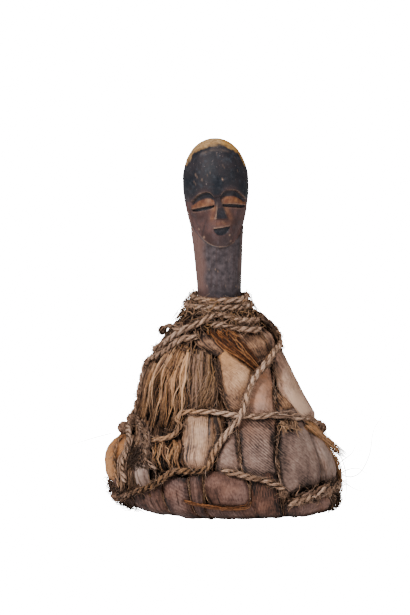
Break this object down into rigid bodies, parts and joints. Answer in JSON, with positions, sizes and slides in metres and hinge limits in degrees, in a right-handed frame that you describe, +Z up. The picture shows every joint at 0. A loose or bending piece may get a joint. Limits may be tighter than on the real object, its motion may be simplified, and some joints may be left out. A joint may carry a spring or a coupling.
{
  "type": "wrapped janus head figure",
  "caption": "Carved wooden head on a long neck, a face front and back, standing in a cone of dry leaf sheaths bound with twisted plant rope and fringed with loose fibre.",
  "frame": {"origin": "middle of the bundle at the level of its underside, on the surface that the figure stands on", "axes": "+Z up along the neck, -Y towards the viewer of the front face, +X to that viewer's right"},
  "size_m": [0.3358, 0.2313, 0.3861],
  "materials": {
    "carved_wood": "dark stained and handled, half matt, with ochre on the crown",
    "inner_sheath": "dark dry leaf layers, matt",
    "leaf_sheath": "dry ribbed palm leaf sheath, matt to silky",
    "folded_sheath": "dry red-brown leaf sheath ends, matt",
    "raw_fibre": "loose raffia-like fibre",
    "twisted_rope": "two-ply twisted plant rope, weathered"
  },
  "bodies": {
    "root": {"head_and_neck": "carved_wood", "packed_inner_sheaths": "inner_sheath", "sheath_fanned_left": "leaf_sheath", "sheath_polished_left": "leaf_sheath", "sheath_strip_left": "leaf_sheath", "sheath_tan_middle": "leaf_sheath", "sheath_ribbed_middle": "leaf_sheath", "sheath_wedge_middle": "leaf_sheath", "sheath_grey_right": "leaf_sheath", "sheath_smooth_right": "leaf_sheath", "sheath_edge_right": "leaf_sheath", "sheath_frayed_corner": "leaf_sheath", "sheath_dark_shoulder": "leaf_sheath", "sheath_small_left": "leaf_sheath", "sheath_bulging_left": "leaf_sheath", "sheath_back_1": "leaf_sheath", "sheath_back_2": "leaf_sheath", "sheath_back_3": "leaf_sheath", "sheath_back_4": "leaf_sheath", "sheath_back_5": "leaf_sheath", "sheath_back_6": "leaf_sheath", "sheath_back_7": "leaf_sheath", "fold_front_1": "folded_sheath", "fold_front_2": "folded_sheath", "fold_front_3": "folded_sheath", "fold_front_oval": "folded_sheath", "fold_front_under": "folded_sheath", "fold_front_4": "folded_sheath", "fold_front_5": "folded_sheath", "fold_back_1": "folded_sheath", "fold_back_2": "folded_sheath", "fold_back_3": "folded_sheath", "fold_back_4": "folded_sheath", "fold_back_5": "folded_sheath", "fold_back_6": "folded_sheath", "fold_back_7": "folded_sheath", "sheath_tip_shoulder": "leaf_sheath", "orange_fibres": "raw_fibre", "fringe_upper_left": "raw_fibre", "fringe_lower_left": "raw_fibre", "fringe_side_left": "raw_fibre", "rope_neck": "twisted_rope", "rope_shoulder": "twisted_rope", "rope_shoulder_low": "twisted_rope", "rope_left_edge": "twisted_rope", "rope_belt": "twisted_rope", "rope_diagonal": "twisted_rope", "rope_low_middle": "twisted_rope", "rope_base": "twisted_rope", "rope_net_1": "twisted_rope", "rope_net_2": "twisted_rope", "rope_back_cross_1": "twisted_rope", "rope_back_cross_2": "twisted_rope", "cord_gap_right": "twisted_rope", "cord_gap_middle": "twisted_rope", "cord_left_middle": "twisted_rope", "cord_right_middle": "twisted_rope", "frayed_strips_right": "raw_fibre", "hair_left": "raw_fibre"}
  },
  "joints": []
}
